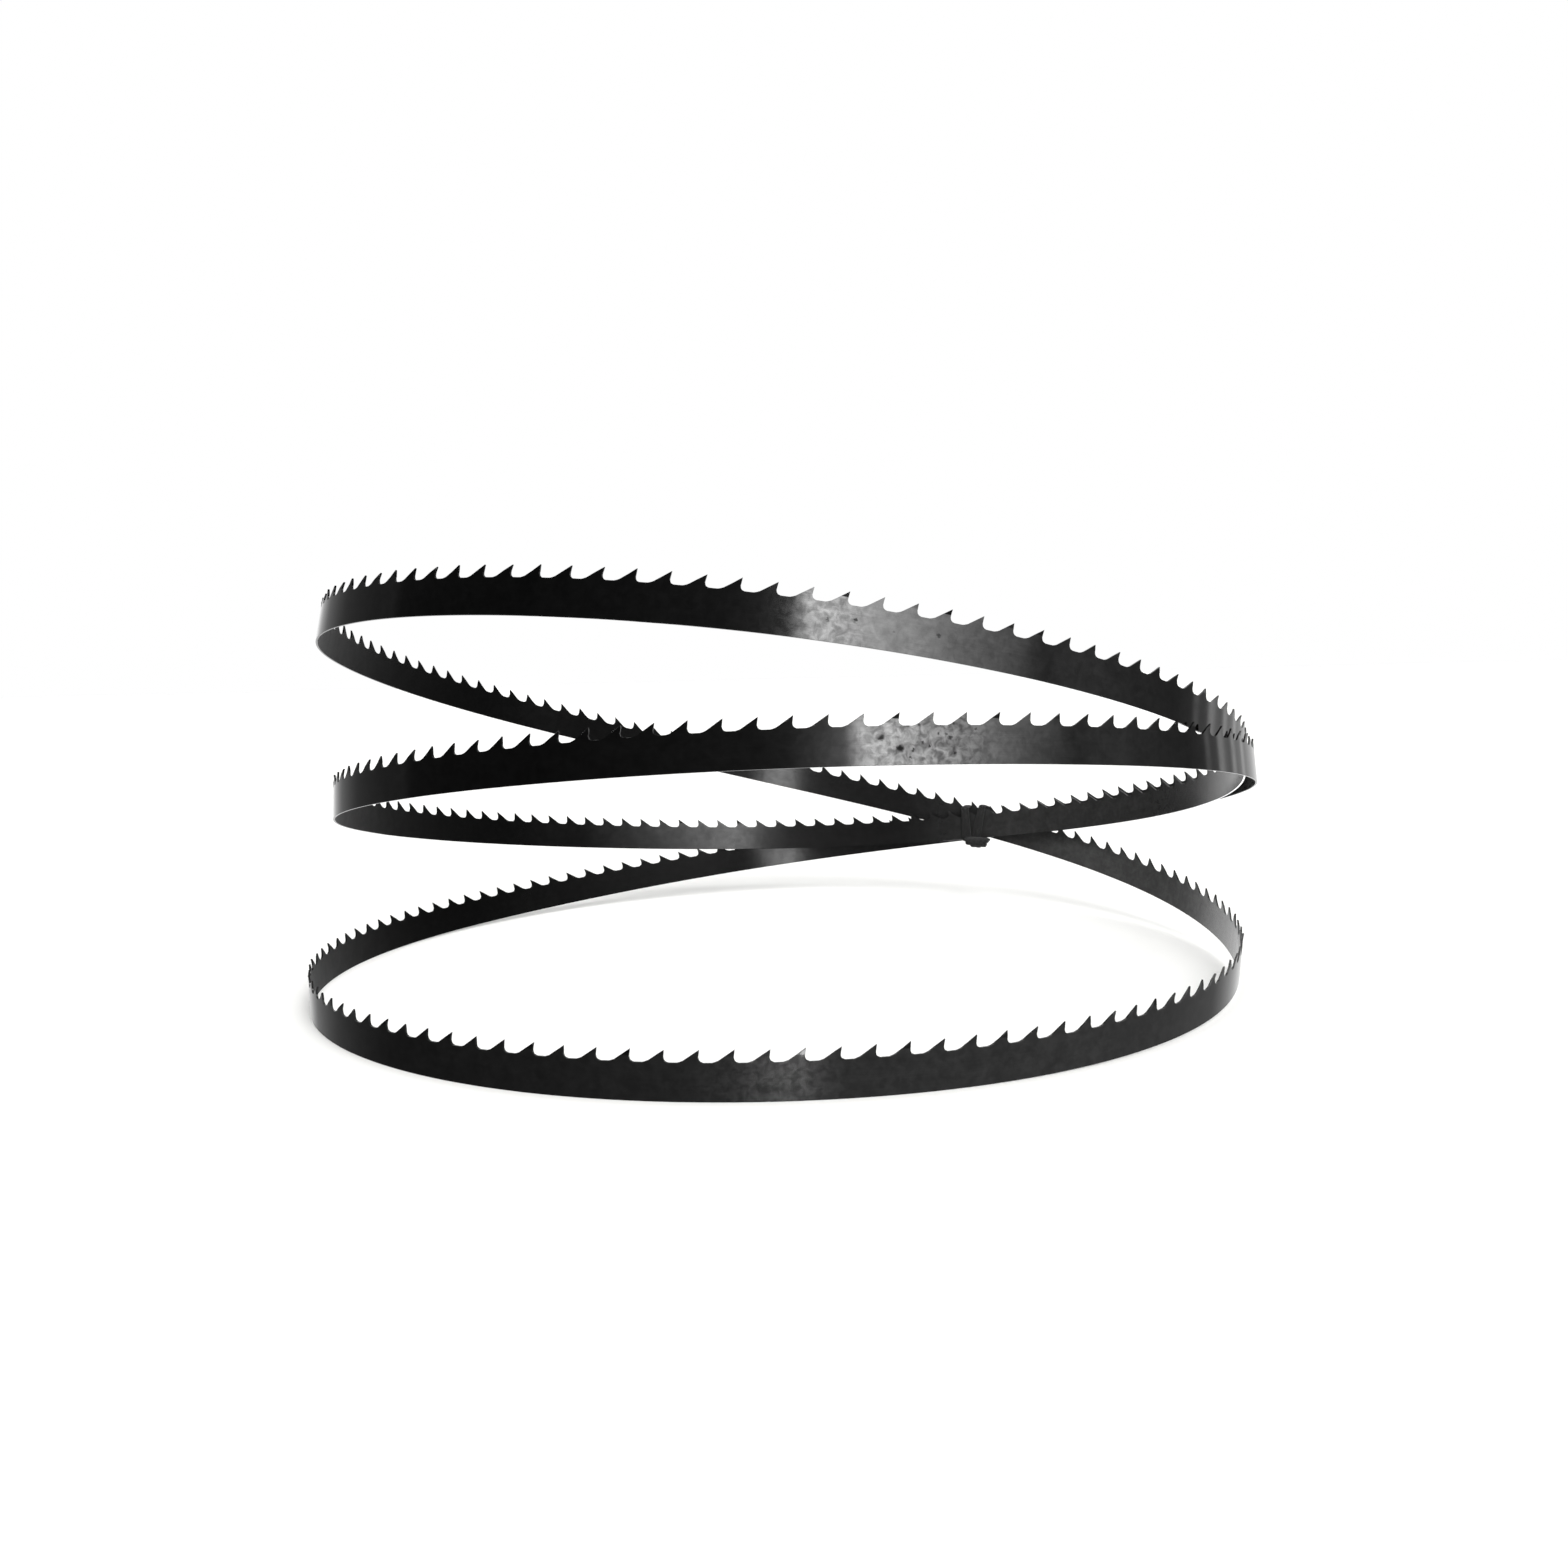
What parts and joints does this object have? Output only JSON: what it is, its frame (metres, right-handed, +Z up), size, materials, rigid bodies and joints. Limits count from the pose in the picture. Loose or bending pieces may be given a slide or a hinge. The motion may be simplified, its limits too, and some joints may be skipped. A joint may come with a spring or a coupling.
{
  "type": "band saw blade",
  "caption": "Endless steel saw band with set teeth along one edge, folded into three coils that lie flat and are held where they cross by a cord tie.",
  "frame": {"origin": "on the surface that the bottom coil lies on, under the middle of the coils' box", "axes": "+Z up, the way the teeth point; +X to the right and +Y away as the picture looks at the coils"},
  "size_m": [0.3035, 0.3015, 0.1295],
  "materials": {
    "blade": "cold-rolled spring steel, dark and polished, with filed teeth",
    "coil_tie": "black soft cord, flattened and knotted"
  },
  "bodies": {
    "root": {"blade": "blade", "coil_tie": "coil_tie"}
  },
  "joints": []
}
